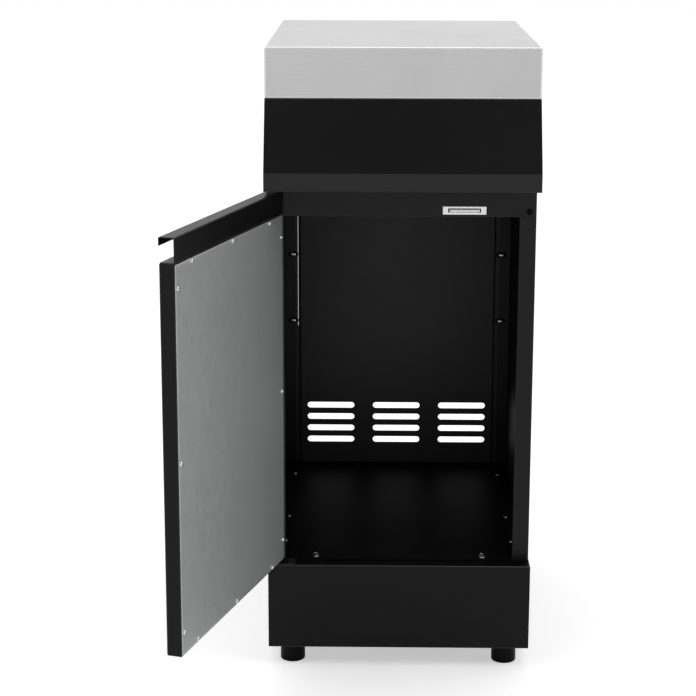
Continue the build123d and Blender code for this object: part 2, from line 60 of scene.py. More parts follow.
# ---------------------------------------------------------------- materials
WHITE = (1, 1, 1, 1)

# How a noise is stretched to make fine lines along one axis
LINES_ALONG_X = (5, 2600, 2600)
LINES_ALONG_Y = (2600, 5, 2600)
LINES_ALONG_Z = (2600, 2600, 5)

# The floor's own glow, and the share of it that reflections show
FLOOR_GLOW = 0.5
MIRRORED_GLOW = 0.3


def add_node(tree, kind, inputs=None, **settings):
    """A shader node with its settings, and its inputs linked to sockets or set to values."""
    made = tree.nodes.new("ShaderNode" + kind)
    for name, value in settings.items():
        setattr(made, name, value)
    for key, value in (inputs or {}).items():
        if isinstance(value, bpy.types.NodeSocket):
            tree.links.new(value, made.inputs[key])
        else:
            made.inputs[key].default_value = value
    return made


class Shader:
    """A material's node tree, with a short call for each kind of node it uses."""

    def __init__(self, name):
        self.material = bpy.data.materials.new(name)
        self.material.use_nodes = True
        self.tree = self.material.node_tree
        self.tree.nodes.clear()
        self.coordinates = self.node("TexCoord").outputs["Object"]

    def node(self, kind, inputs=None, **settings):
        return add_node(self.tree, kind, inputs, **settings)

    def noise(self, scale, detail=2.0, roughness=0.5, stretch=(1, 1, 1), distortion=0.0):
        stretched = self.node("Mapping", {"Vector": self.coordinates, "Scale": stretch})
        return self.node("TexNoise", {
            "Vector": stretched.outputs[0], "Scale": scale, "Detail": detail,
            "Roughness": roughness, "Distortion": distortion,
        }).outputs[0]

    def fitted(self, value, low, high, to_low=0.0, to_high=1.0):
        """A value's range from low to high, laid over another range."""
        return self.node("MapRange", {
            "Value": value, "From Min": low, "From Max": high,
            "To Min": to_low, "To Max": to_high,
        }).outputs[0]

    def widened(self, noise, half, to_low=0.0, to_high=1.0):
        """A noise's values up to half either side of its middle, laid over another range."""
        return self.fitted(noise, 0.5 - half, 0.5 + half, to_low, to_high)

    def math(self, operation, first, second=0.0):
        return self.node("Math", {0: first, 1: second}, operation=operation).outputs[0]

    def times(self, value, share):
        return self.math("MULTIPLY", value, share)

    def blended(self, share, first, second):
        """The first colour, with the given share of the second."""
        inputs = {"Factor": share, 6: first, 7: second}
        return self.node("Mix", inputs, data_type="RGBA").outputs[2]

    def bump(self, height, distance, strength, under=None):
        inputs = {"Height": height, "Distance": distance, "Strength": strength}
        if under is not None:
            inputs["Normal"] = under
        return self.node("Bump", inputs).outputs[0]

    def edges(self, radius, low=0.04, high=0.3):
        """One along the edges of a piece and nought elsewhere."""
        rounded = self.node("Bevel", {"Radius": radius}, samples=6).outputs[0]
        flat = self.node("NewGeometry").outputs["Normal"]
        alike = self.node("VectorMath", {0: rounded, 1: flat}, operation="DOT_PRODUCT")
        return self.fitted(alike.outputs["Value"], 1 - low, 1 - high)

    def folds(self, low=0.09, high=0.2):
        """One on the rounded folds between a sheet's flat faces and nought on the faces."""
        way = self.node("SeparateXYZ", {0: self.node("TexCoord").outputs["Normal"]}).outputs
        x, y, z = (self.math("ABSOLUTE", part) for part in way)
        squarest = self.math("MAXIMUM", self.math("MAXIMUM", x, y), z)
        return self.fitted(squarest, 1 - low, 1 - high)

    def finish(self, inputs):
        """Ends the tree in a surface with the given inputs, and returns the material."""
        surface = self.node("BsdfPrincipled", inputs)
        self.node("OutputMaterial", {"Surface": surface.outputs[0]})
        return self.material


def grey(level, tint=(1, 1, 1)):
    return (level * tint[0], level * tint[1], level * tint[2], 1)


def toned(tint, shares):
    """A tint with each part multiplied by its share, and no part over one."""
    return tuple(min(1, part * share) for part, share in zip(tint, shares)) + (1,)


def powder_coat(name, level, gloss, peel, shine, edge_wear_and_highlight=0.045):
    """Black powder coat: a fine orange peel, faint cloudiness, and a painted highlight on its edges
    and folds.

    The level is how pale it is, gloss its roughness, peel the height of its peel and shine how
    much it mirrors; the last argument is how pale the painted highlight on its edges and folds is.
    """
    s = Shader(name)
    cloud = s.noise(5.0, detail=4.0, roughness=0.6)
    grain = s.noise(1400.0, roughness=0.6)
    specks = s.fitted(s.noise(2600.0, detail=1.0), 0.66, 0.74)
    # Painted highlight: the edges and rounded folds are painted pale, standing in for the light
    # they catch
    edge_highlight = s.math("MAXIMUM", s.edges(0.7 * MM), s.folds())
    darker, lighter = grey(level * 0.85), grey(level * 1.2, (1, 1, 1.03))
    colour = s.blended(s.widened(cloud, 0.2), darker, lighter)
    colour = s.blended(s.times(specks, 0.35), colour, grey(level * 3.0))
    colour = s.blended(edge_highlight, colour, grey(edge_wear_and_highlight))
    patches = s.noise(9.0, detail=5.0, roughness=0.65)
    rough = s.widened(patches, 0.2, gloss - 0.012, gloss + 0.016)
    rough = s.math("ADD", rough, s.times(s.math("SUBTRACT", grain, 0.5), 0.18))
    normal = s.bump(s.noise(420.0), 0.12 * MM * peel, 0.35)
    normal = s.bump(grain, 0.07 * MM * peel, 0.5, normal)
    return s.finish({
        "Base Color": colour, "Roughness": rough, "Normal": normal,
        "Specular IOR Level": shine,
    })


def brushed(name, tint, rough, metal=1.0, clouded=0.3):
    """Brushed sheet: fine lines along X, or along Y on the sides, soft clouds, and a painted
    highlight: edges painted pale and less metallic.
    """
    s = Shader(name)

    def lines(stretch):
        fine = s.noise(1.0, detail=3.0, roughness=0.7, stretch=stretch)
        broad = s.noise(0.31, roughness=0.6, stretch=stretch)
        return s.math("ADD", s.times(fine, 0.7), s.times(broad, 0.3))

    across = s.node("SeparateXYZ", {0: s.node("NewGeometry").outputs["Normal"]}).outputs[0]
    turned = s.fitted(s.math("ABSOLUTE", across), 0.6, 0.7)
    both = {0: turned, 2: lines(LINES_ALONG_X), 3: lines(LINES_ALONG_Y)}
    grain = s.node("Mix", both, data_type="FLOAT").outputs[0]
    smudge = s.widened(s.noise(3.2, detail=5.0, roughness=0.6, distortion=0.6), 0.18)
    # Painted highlight: the edges are painted near white and made less metallic, so that the folds
    # show bright lines
    edge_highlight = s.edges(1.6 * MM)
    darker, lighter = toned(tint, (0.94, 0.94, 0.945)), toned(tint, (1.05, 1.05, 1.05))
    colour = s.blended(s.widened(grain, 0.15), darker, lighter)
    colour = s.blended(s.times(smudge, clouded), colour, toned(tint, (0.9, 0.9, 0.905)))
    colour = s.blended(s.times(edge_highlight, 0.8), colour, (0.97, 0.97, 0.965, 1))
    roughness = s.widened(grain, 0.2, rough - 0.05, rough + 0.05)
    roughness = s.math("ADD", roughness, s.times(smudge, 0.05))
    normal = s.bump(grain, 0.01 * MM, 0.6, s.bump(s.noise(2.1), 1.1 * MM, 0.12))
    return s.finish({
        "Base Color": colour, "Roughness": roughness, "Normal": normal,
        "Metallic": s.fitted(edge_highlight, 0, 1, metal, metal * 0.45),
    })


def galvanised(name):
    """Bare zinc-coated sheet: faint spangle, vertical roll lines, a dull sheen and a painted
    highlight along its edges.
    """
    s = Shader(name)
    spangle = s.node("TexVoronoi", {"Vector": s.coordinates, "Scale": 140.0}, feature="F1")
    tone = s.node("SeparateColor", {0: spangle.outputs["Color"]}).outputs[0]
    rolled = s.noise(1.0, detail=3.0, roughness=0.7, stretch=LINES_ALONG_Z)
    cloud = s.widened(s.noise(3.0, detail=3.0), 0.2)
    mixed = s.math("ADD", s.times(tone, 0.25), s.times(rolled, 0.75))
    darker, lighter = (0.44, 0.457, 0.452, 1), (0.485, 0.502, 0.495, 1)
    colour = s.blended(s.widened(mixed, 0.25), darker, lighter)
    colour = s.blended(s.times(cloud, 0.3), colour, (0.43, 0.447, 0.444, 1))
    # Painted highlight: the edges are painted paler towards the door's free side, which lies
    # furthest to the front
    forward = s.fitted(s.node("SeparateXYZ", {0: s.coordinates}).outputs[1], -0.12, -0.34, 0.1, 0.8)
    painted_edge_highlight = s.times(s.edges(5.0 * MM, 0.004, 0.14), forward)
    colour = s.blended(painted_edge_highlight, colour, (0.88, 0.89, 0.88, 1))
    return s.finish({
        "Base Color": colour, "Metallic": 0.55,
        "Roughness": s.widened(mixed, 0.2, 0.42, 0.5),
        "Normal": s.bump(rolled, 0.01 * MM, 0.5),
    })


def plated(name, tint, rough):
    """Bright plating on a small part: fine pitting, dull patches and worn edges."""
    s = Shader(name)
    patch = s.widened(s.noise(260.0, detail=4.0, roughness=0.6), 0.15)
    colour = s.blended(patch, toned(tint, (0.82, 0.82, 0.8)), toned(tint, (1, 1, 1)))
    colour = s.blended(s.times(s.edges(0.2 * MM), 0.6), colour, (0.95, 0.95, 0.94, 1))
    return s.finish({
        "Base Color": colour, "Metallic": 1.0,
        "Roughness": s.fitted(patch, 0, 1, rough + 0.1, rough),
        "Normal": s.bump(s.noise(2400.0), 0.02 * MM, 0.5),
    })


def blackened(name):
    """Blackened steel: dark oxide with bare metal just showing along the edges."""
    s = Shader(name)
    patch = s.widened(s.noise(300.0, detail=4.0, roughness=0.6), 0.15)
    colour = s.blended(patch, grey(0.016), grey(0.034))
    colour = s.blended(s.times(s.edges(0.2 * MM), 0.35), colour, grey(0.3))
    return s.finish({
        "Base Color": colour, "Metallic": 0.55,
        "Roughness": s.fitted(patch, 0, 1, 0.3, 0.42),
        "Normal": s.bump(s.noise(2200.0), 0.03 * MM, 0.5),
    })


def moulded(name, level, rough, grain, tint=(1, 1, 1), gloss=0.5, waxy=0.0):
    """Moulded plastic or rubber: a fine spark-eroded grain with scuffs and paler edges."""
    s = Shader(name)
    scuff = s.fitted(s.noise(60.0, detail=5.0, roughness=0.7, distortion=1.2), 0.55, 0.75)
    darker, lighter = grey(level * 0.85, tint), grey(level * 1.15, tint)
    scuffed = grey(min(1.0, level * 1.5 + 0.004), tint)
    edge_wear_and_highlight = grey(min(1.0, level * 2 + 0.012), tint)
    colour = s.blended(s.noise(40.0, detail=3.0), darker, lighter)
    colour = s.blended(s.times(scuff, 0.2), colour, scuffed)
    colour = s.blended(s.times(s.edges(0.4 * MM), 0.3), colour, edge_wear_and_highlight)
    return s.finish({
        "Base Color": colour, "Specular IOR Level": gloss, "Subsurface Weight": waxy,
        "Roughness": s.fitted(scuff, 0, 1, rough - 0.05, rough + 0.1),
        "Normal": s.bump(s.noise(1800.0, roughness=0.6), 0.06 * MM * grain, 0.6),
    })


def studio_floor():
    """A pale floor that the camera sees as white away from the object's shadow."""
    s = Shader("studio_floor")
    tone = s.blended(s.noise(2.0, detail=4.0), grey(0.80), grey(0.83))
    rays = s.node("LightPath").outputs
    seen = s.math("MAXIMUM", rays["Is Camera Ray"], rays["Is Transmission Ray"])
    seen = s.math("MAXIMUM", seen, s.times(rays["Is Glossy Ray"], MIRRORED_GLOW))
    pale = s.node("BsdfDiffuse", {"Color": tone})
    glow = s.node("Emission", {"Color": WHITE, "Strength": s.times(seen, FLOOR_GLOW)})
    both = s.node("AddShader", {0: pale.outputs[0], 1: glow.outputs[0]})
    s.node("OutputMaterial", {"Surface": both.outputs[0]})
    return s.material


# The same paint in lit and shaded copies, tuned to how the photo shows it in each place: level,
# gloss, peel and shine. Their levels and shine are painted light and shade: paler inside and on
# the side walls' inner faces, more mirroring on the fascia's front, less mirroring on the base,
# its ledge and the cabinet floor, and a brighter painted highlight on the folds of the base and
# the door pan.
COAT = powder_coat("black_powder_coat_satin", 0.0024, 0.40, 1.0, 0.26)
COAT_INSIDE = powder_coat("black_powder_coat_inside", 0.03, 0.42, 0.8, 0.27)
COAT_LIP = powder_coat("black_powder_coat_lip", 0.0024, 0.40, 1.0, 0.4)
COAT_BASE = powder_coat("black_powder_coat_base", 0.0024, 0.40, 1.0, 0.2, edge_wear_and_highlight=0.1)
COAT_WALL = powder_coat("black_powder_coat_wall", 0.006, 0.5, 0.6, 0.1)
COAT_FLOOR = powder_coat("black_powder_coat_floor", 0.003, 0.5, 0.5, 0.03)

STAINLESS = brushed("stainless_brushed", (0.56, 0.56, 0.557), 0.27, clouded=0.7)
# Painted light: a paler copy of the stainless for the upright skirt, standing in for the light it
# catches
STAINLESS_SKIRT_LIT = brushed("stainless_skirt_lit", (0.632, 0.632, 0.628), 0.27, clouded=1.0)
# Painted highlight: a near-white, half-metallic copy of the stainless for the worktop's rounded
# folds
STAINLESS_FOLD_HIGHLIGHT = brushed("stainless_fold_highlight", (0.9, 0.9, 0.895), 0.34, metal=0.5)

ZINC_LINER = galvanised("zinc_liner_sheet")
ZINC = plated("zinc_bright", (0.93, 0.93, 0.92), 0.2)
NICKEL = plated("nickel_bright", (0.74, 0.735, 0.72), 0.2)
BLACK_FIXING = blackened("black_fixing_oxide")
BLACK_PLASTIC = moulded("black_plastic_grained", 0.0012, 0.3, 1.0, gloss=0.12)
RUBBER = moulded("bumper_rubber_dull", 0.0015, 0.5, 0.6, gloss=0.12)
ACETAL = moulded("acetal_natural", 0.6, 0.38, 0.3, tint=(1, 0.985, 0.93), waxy=0.08)

LOOKS = {
    "black_powder_coat": COAT,
    "stainless_worktop": STAINLESS,
    "zinc_liner": ZINC_LINER,
    "zinc_fixing": ZINC,
    "black_fixing": BLACK_FIXING,
    "black_plastic": BLACK_PLASTIC,
    "acetal_bush": ACETAL,
    "magnet": NICKEL,
    "bumper_rubber": RUBBER,
}

# The CAD nodes that don't look as the rest of their slot does: they take the lit and shaded
# copies of the paint, which are painted light and shade
OWN_LOOKS = {
    "back_panel": COAT_INSIDE,
    "rear_rail": COAT_INSIDE,
    "door_stiffener": COAT_INSIDE,
    "worktop_stiffener_front": COAT_INSIDE,
    "worktop_stiffener_rear": COAT_INSIDE,
    "floor_panel": COAT_FLOOR,
    "base_front": COAT_BASE,
    "door_pan": COAT_BASE,
}

# And the faces that don't look as the rest of their node does, by the way they look: painted
# shade on the base's upward ledge, paler painted light on the side walls' inner faces, and more
# shine on the fascia's front
OWN_FACES = (
    ("fascia", FRONT, COAT_LIP),
    ("base_front", UP, COAT_FLOOR),
    ("side_panel_left", RIGHT, COAT_WALL),
    ("side_panel_right", LEFT, COAT_WALL),
)


# ---------------------------------------------------------------- mesh helpers
SMOOTH_BELOW = math.radians(32)
BEVELLED_ABOVE = math.radians(35)

# How nearly a face has to look one way to count as looking that way, and to count as flat,
# and how little it may look up or down to count as upright
FACING = 0.99
FLAT = 0.995
UPRIGHT = 0.1


def object_of(name, bm, material):
    """A mesh object made from a bmesh, smooth but for its sharp edges."""
    bmesh.ops.recalc_face_normals(bm, faces=bm.faces)
    mesh = bpy.data.meshes.new(name)
    bm.to_mesh(mesh)
    bm.free()
    mesh.shade_smooth()
    mesh.set_sharp_from_angle(angle=SMOOTH_BELOW)
    mesh.materials.append(material)
    made = bpy.data.objects.new(name, mesh)
    scene.collection.objects.link(made)
    return made


def piece(name, bm, material, body, replaces=()):
    made = object_of(name, bm, material)
    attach(made, body)
    if replaces:
        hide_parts(*replaces)
    return made


def circle_points(radius, count, turn=0.0):
    step = 2 * math.pi / count
    angles = [turn + i * step for i in range(count)]
    return [(radius * math.cos(angle), radius * math.sin(angle)) for angle in angles]


def bridge(bm, lower, upper):
    count = len(lower)
    for i in range(count):
        k = (i + 1) % count
        bm.faces.new((lower[i], lower[k], upper[k], upper[i]))


def lathe(bm, profile, count, turn=0.0):
    """Rings through (radius, height) pairs. A radius of nought closes the end.

    Returns the first and the last ring.
    """
    rings = []
    for radius, z in profile:
        points = circle_points(radius, count, turn) if radius else [(0, 0)]
        rings.append([bm.verts.new((x, y, z)) for x, y in points])
    for lower, upper in zip(rings, rings[1:]):
        if len(lower) == 1:
            for i in range(count):
                bm.faces.new((lower[0], upper[(i + 1) % count], upper[i]))
        elif len(upper) == 1:
            for i in range(count):
                bm.faces.new((lower[i], lower[(i + 1) % count], upper[0]))
        else:
            bridge(bm, lower, upper)
    return rings[0], rings[-1]


def filled_between(bm, outer, inner):
    """The flat area between an outer and an inner loop of points."""
    edges = []
    for loop in (outer, inner):
        for v, w in zip(loop, loop[1:] + loop[:1]):
            edges.append(bm.edges.get((v, w)) or bm.edges.new((v, w)))
    bmesh.ops.triangle_fill(bm, use_beauty=True, edges=edges)


def recess(bm, rim, outline, depth, taper):
    """A tapered pocket with the given outline, sunk from the flat area inside a rim."""
    z = rim[0].co.z
    top = [bm.verts.new((x, y, z)) for x, y in outline]
    bottom = [bm.verts.new((x * taper, y * taper, z - depth)) for x, y in outline]
    filled_between(bm, rim, top)
    bridge(bm, top, bottom)
    bm.faces.new(bottom)


def cross(arm, width):
    """A cross with arms of the given length and half-width."""
    a, w = arm, width
    return [
        (a, -w), (a, w), (w, w), (w, a), (-w, a), (-w, w),
        (-a, w), (-a, -w), (-w, -w), (-w, -a), (w, -a), (w, -w),
    ]


def six_sided(flats):
    """A hexagon of the given width across its flats."""
    return circle_points(flats / 2 / math.cos(math.pi / 6), 6)


# ---------------------------------------------------------------- shapes of the small parts
# Their profiles are in shares of the part's radius and height, from the foot up
PAN_HEAD_DOME = ((1.0, 0.0), (1.0, 0.30), (0.97, 0.50), (0.90, 0.70), (0.79, 0.87), (0.64, 1.0))
FLAT_HEAD_EDGE = ((1.0, 0.0), (1.0, 0.55), (0.9, 1.0))
RIVET_HEAD_EDGE = (
    (1.0, 0.0), (1.0, 0.34), (0.96, 0.57), (0.86, 0.78), (0.7, 0.92), (0.5, 0.99), (0.3, 1.0),
)
RIVET_PIN_EDGE = ((1.0, 0.0), (1.0, 0.45), (0.92, 0.7), (0.75, 0.87), (0.5, 0.97), (0.2, 1.0))
RIVET_TAIL = (
    (0.72, 0.0), (0.92, 0.25), (1.0, 0.5), (0.86, 0.8),
    (0.5, 0.97), (0.42, 0.9), (0.36, 1.0), (0.0, 1.0),
)
BUTTON = (
    (1.0, 0.0), (1.0, 0.5), (0.97, 0.68), (0.90, 0.84), (0.82, 0.88), (0.74, 0.84), (0.68, 0.6),
    (0.66, 0.3), (0.5, 0.3), (0.48, 0.8), (0.42, 0.93), (0.28, 0.99), (0.0, 1.0),
)

# A cross recess: the length and half-width of its arms as shares of the head's radius, its
# depth as a share of the head's height, and its floor's size as a share of its mouth's
PAN_HEAD_RECESS = (0.5, 0.11, 0.62, 0.72)
FLAT_HEAD_RECESS = (0.52, 0.12, 0.8, 0.75)
PAN_HEAD = (PAN_HEAD_DOME, PAN_HEAD_RECESS)
FLAT_HEAD = (FLAT_HEAD_EDGE, FLAT_HEAD_RECESS)

# How many sides stand for a circle
HEAD_SIDES = 32
DOME_SIDES = 40
WASHER_SIDES = 48
PAD_SIDES = 64

# A foot's sole and side, as mm in from its side and up from the ground, and then its top, as
# mm in from its side and down from its top
FOOT_SOLE = (
    (6.5, 1.2), (6.0, 0.3), (5.4, 0), (1.6, 0), (0.7, 0.3), (0.15, 1.0), (0, 2.0), (0, 10.0),
    (0, 20.0),
)
FOOT_TOP = ((0, 1.8), (0.2, 0.9), (0.8, 0.2), (1.6, 0), (6.0, 0))

# Where a hexagon's turned chamfer starts, and how far its other edges are broken
CHAMFER_START = 0.96
BROKEN_EDGE = 0.06 * MM

# The dish in a bolt's head: its rim and its floor as shares of the chamfer's, and its depth
DISH_RIM = 0.82
DISH_FLOOR = 0.76
DISH_DEPTH = 0.25 * MM

# A thread's pitch and depth, how steep its flanks are and how flat its root is, and the
# tapered lead-in at its end
THREAD_PITCH = 1.5 * MM
THREAD_DEPTH = 0.61 * THREAD_PITCH
THREAD_STEEPNESS = 1.25
THREAD_ROOT = 0.06
LEAD_IN_LENGTH = 1.2 * MM
LEAD_IN_DEPTH = 1.1 * MM


def sized(shape, *sizes):
    """The shape as a call that only needs the bmesh to build it in."""
    return lambda bm: shape(bm, *sizes)


def scaled(profile, radius, height):
    return [(radius * r, height * z) for r, z in profile]


def screw_head(bm, profile, recess_shares, radius, height):
    """A screw's head with a cross recess."""
    arm, width, depth, taper = recess_shares
    foot, rim = lathe(bm, scaled(profile, radius, height), HEAD_SIDES)
    bm.faces.new(foot)
    recess(bm, rim, cross(radius * arm, radius * width), height * depth, taper)


def long_dome(bm, length, width, low, high, profile):
    """A round-ended bar with the given edge, whose rings run from the outline inwards."""
    half = width / 2
    rings = [(half * r, low + (high - low) * z) for r, z in profile]
    foot, rim = lathe(bm, rings, DOME_SIDES, math.pi / DOME_SIDES)
    for v in bm.verts:
        v.co.x += math.copysign(length / 2 - half, v.co.x)
    bm.faces.new(foot)
    bm.faces.new(rim)


def turned_part(bm, profile, radius, height, count):
    """A part turned from a profile that closes on its axis, such as a button."""
    foot, _ = lathe(bm, scaled(profile, radius, height), count)
    bm.faces.new(foot)


def nut_prism(bm, flats, low, high, chamfer_low, chamfer_high, per_side=8):
    """A hexagon with the curved chamfers that turning leaves on its ends.

    Returns its end rings.
    """
    count = 6 * per_side
    inner = flats / 2 * CHAMFER_START
    rows = [[], [], [], []]
    for i in range(count):
        turn = 2 * math.pi * i / count
        reach = flats / 2 / math.cos((turn + math.pi / 6) % (math.pi / 3) - math.pi / 6)
        drop = (reach - inner) * math.tan(math.pi / 6)
        places = (
            (inner if chamfer_low else reach, low),
            (reach, low + (drop if chamfer_low else BROKEN_EDGE)),
            (reach, high - (drop if chamfer_high else BROKEN_EDGE)),
            (inner if chamfer_high else reach, high),
        )
        for row, (r, z) in zip(rows, places):
            row.append(bm.verts.new((r * math.cos(turn), r * math.sin(turn), z)))
    for lower, upper in zip(rows, rows[1:]):
        bridge(bm, lower, upper)
    return rows[0], rows[3]


def bolt(bm, washer_radius, washer_height, flats, height):
    """A hexagon bolt's head, dished on top, on its washer."""
    r, h = washer_radius, washer_height
    profile = (
        (r * 0.5, 0), (r * 0.97, 0), (r, h * 0.25), (r, h * 0.75), (r * 0.97, h),
        (flats * 0.3, h),
    )
    for end in lathe(bm, profile, WASHER_SIDES):
        bm.faces.new(end)
    foot, top = nut_prism(bm, flats, h, h + height, False, True)
    bm.faces.new(foot)
    loop = top
    for share, drop in ((DISH_RIM, 0), (DISH_FLOOR, DISH_DEPTH)):
        points = [(v.co.x * share, v.co.y * share, v.co.z - drop) for v in top]
        inner = [bm.verts.new(point) for point in points]
        bridge(bm, loop, inner)
        loop = inner
    bm.faces.new(loop)


def foot_pad(bm, radius, height, flats, pocket_depth):
    """A levelling foot's pad, with a ring on its sole and a pocket for the stud's head."""
    profile = [(0, FOOT_SOLE[0][1] * MM)]
    profile += [(radius - inset * MM, rise * MM) for inset, rise in FOOT_SOLE]
    profile += [(radius - inset * MM, height - drop * MM) for inset, drop in FOOT_TOP]
    _, rim = lathe(bm, profile, PAD_SIDES)
    recess(bm, rim, six_sided(flats), pocket_depth, 1.0)


def threaded_stud(bm, radius, head_flats, head, shank_top, around=24, steps=6):
    """A stud with a real helical thread, from its hexagon head's levels to the shank's top."""
    low, high = head
    for end in nut_prism(bm, head_flats, low, high, True, True):
        bm.faces.new(end)
    rows = int((shank_top - high) / THREAD_PITCH * steps)
    rings = []
    for k in range(rows + 1):
        z = high + (shank_top - high) * k / rows
        row = []
        for i in range(around):
            phase = (z - high) / THREAD_PITCH - i / around
            rise = 1 - abs(2 * (phase % 1) - 1)
            ridge = min(1.0, max(0.0, rise * THREAD_STEEPNESS - THREAD_ROOT))
            cut = THREAD_DEPTH * (1 - ridge)
            tip = min(1.0, (shank_top - z) / LEAD_IN_LENGTH)
            r = min(radius - cut, radius - LEAD_IN_DEPTH * (1 - tip))
            turn = 2 * math.pi * i / around
            row.append(bm.verts.new((r * math.cos(turn), r * math.sin(turn), z)))
        rings.append(row)
    for lower, upper in zip(rings, rings[1:]):
        bridge(bm, lower, upper)
    bm.faces.new(rings[0])
    bm.faces.new(rings[-1])


# ---------------------------------------------------------------- places
def islands(node):
    """The points of each separate solid of a CAD node."""
    mesh = nodes[node].data
    parent = {}

    def find(key):
        while parent[key] != key:
            parent[key] = parent[parent[key]]
            key = parent[key]
        return key

    def key_of(index):
        return tuple(round(c, 6) for c in mesh.vertices[index].co)

    for v in mesh.vertices:
        parent.setdefault(key_of(v.index), key_of(v.index))
    for p in mesh.polygons:
        first = find(key_of(p.vertices[0]))
        for index in p.vertices[1:]:
            parent[find(key_of(index))] = first
    groups = {}
    for key in parent:
        groups.setdefault(find(key), []).append(Vector(key))
    return [groups[key] for key in sorted(groups)]


def seats(node, axis):
    """Where each solid of a node sits: the middle of its face furthest back along the axis."""
    found = []
    for points in islands(node):
        middle = sum(points, Vector()) / len(points)
        back = min((p - middle).dot(axis) for p in points)
        found.append(middle + axis * back)
    return found


def placed(bm, shape, seat, axis, spin=0.0):
    """Adds what shape() builds along Z, turned to the axis and set on its seat."""
    own = bmesh.new()
    shape(own)
    turn = UP.rotation_difference(axis) if axis != DOWN else Quaternion((1, 0, 0), math.pi)
    turned = turn.to_matrix().to_4x4() @ Matrix.Rotation(spin, 4, "Z")
    own.transform(Matrix.Translation(seat) @ turned)
    copy = bpy.data.meshes.new("copy")
    own.to_mesh(copy)
    own.free()
    bm.from_mesh(copy)
    bpy.data.meshes.remove(copy)


spins = random.Random(7)


def fasteners(name, node, axis, shape, material, body, slot, level=False):
    """Detailed heads for a CAD node's plain ones, each spun its own way unless level."""
    bm = bmesh.new()
    for seat in seats(node, axis):
        placed(bm, shape, seat, axis, 0.0 if level else spins.uniform(0, math.pi))
    piece(name, bm, material, body, (node,))


# ---------------------------------------------------------------- CAD nodes
for name, node in nodes.items():
    slot = node.data.materials[0].name.split(".")[0]
    node.data.materials.clear()
    node.data.materials.append(OWN_LOOKS.get(name, LOOKS[slot]))

for name, way, coat in OWN_FACES:
    mesh = nodes[name].data
    mesh.materials.append(coat)
    for face in mesh.polygons:
        if face.normal.dot(way) > FACING:
            face.material_index = 1

# How far the edges of the plain CAD pieces are rounded, so that they catch the light
SOFT_EDGES = {
    "catch_plate": 0.25 * MM,
    "catch_body": 0.25 * MM,
    "upper_hinge_plate": 0.25 * MM,
    "lower_hinge_plate": 0.25 * MM,
    "door_pan": 0.55 * MM,
    "door_liner": 0.25 * MM,
}


def softened(node, width):
    """Rounds a piece's edges. One weld joins its faces first, one clears slivers after."""
    node.modifiers.new("weld", "WELD").merge_threshold = 0.002 * MM
    bevel = node.modifiers.new("bevel", "BEVEL")
    bevel.width = width
    bevel.segments = 2
    bevel.limit_method = "ANGLE"
    bevel.angle_limit = BEVELLED_ABOVE
    node.modifiers.new("join", "WELD").merge_threshold = 0.01 * MM
    node.modifiers.new("normals", "WEIGHTED_NORMAL").keep_sharp = True


for name, width in SOFT_EDGES.items():
    softened(nodes[name], width)


# ---------------------------------------------------------------- worktop
WORKTOP_SHEET = 1.2 * MM
WORKTOP_RETURN = 16.0 * MM
WORKTOP_BEND = 2.5 * MM


def folded_worktop():
    """The worktop as one folded sheet: top, skirt and return, with its folds rounded."""
    low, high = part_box("worktop")
    bm = bmesh.new()

    def loop(inset, z):
        x0, x1 = low.x + inset, high.x - inset
        y0, y1 = low.y + inset, high.y - inset
        return [bm.verts.new((x, y, z)) for x, y in ((x0, y0), (x1, y0), (x1, y1), (x0, y1))]

    top = loop(0, high.z)
    skirt = loop(0, low.z)
    inner = loop(WORKTOP_RETURN, low.z)
    bm.faces.new(top)
    bridge(bm, skirt, top)
    bridge(bm, inner, skirt)
    folds = [e for e in bm.edges if not (e.verts[0] in inner or e.verts[1] in inner)]
    bmesh.ops.bevel(
        bm, geom=folds, offset=WORKTOP_BEND, offset_type="OFFSET", segments=5, profile=0.5,
        affect="EDGES",
    )
    # The folds take the painted highlight copy, and the upright skirt the paler painted-light copy
    materials = [STAINLESS, STAINLESS_FOLD_HIGHLIGHT, STAINLESS_SKIRT_LIT]
    for face in bm.faces:
        face.normal_update()
        if max(abs(part) for part in face.normal) < FLAT:
            face.material_index = materials.index(STAINLESS_FOLD_HIGHLIGHT)
        elif abs(face.normal.z) < UPRIGHT:
            face.material_index = materials.index(STAINLESS_SKIRT_LIT)
    made = piece("worktop_sheet", bm, materials[0], "carcass", ("worktop",))
    for material in materials[1:]:
        made.data.materials.append(material)
    thick = made.modifiers.new("sheet", "SOLIDIFY")
    thick.thickness = WORKTOP_SHEET
    thick.offset = -1
    thick.use_even_offset = True
    made.modifiers.new("normals", "WEIGHTED_NORMAL").keep_sharp = True


folded_worktop()


# ---------------------------------------------------------------- fasteners and small parts
# The radius and height of each head. A bolt's are its washer's, then its flats and height
LINER_SCREW = sized(screw_head, *PAN_HEAD, 3.3 * MM, 2.4 * MM)
FLOOR_SCREW = sized(screw_head, *PAN_HEAD, 3.4 * MM, 1.8 * MM)
CARCASS_SCREW = sized(screw_head, *PAN_HEAD, 4.0 * MM, 2.2 * MM)
HINGE_SCREW = sized(screw_head, *FLAT_HEAD, 3.6 * MM, 1.2 * MM)
FLOOR_BOLT = sized(bolt, 4.8 * MM, 1.0 * MM, 8.0 * MM, 3.5 * MM)
DOOR_BUMPER = sized(turned_part, BUTTON, 4.4 * MM, 4.4 * MM, DOME_SIDES)

# A push rivet's long head and pin: length, width, and the levels from and to which it rises
RIVET_HEAD = sized(long_dome, 17.6 * MM, 8.6 * MM, 0, 2.3 * MM, RIVET_HEAD_EDGE)
RIVET_PIN = sized(long_dome, 8.6 * MM, 4.0 * MM, 2.1 * MM, 3.4 * MM, RIVET_PIN_EDGE)
RIVET_SPREAD = sized(turned_part, RIVET_TAIL, 3.4 * MM, 2.6 * MM, HEAD_SIDES)
RIVETED_THICKNESS = 2.4 * MM

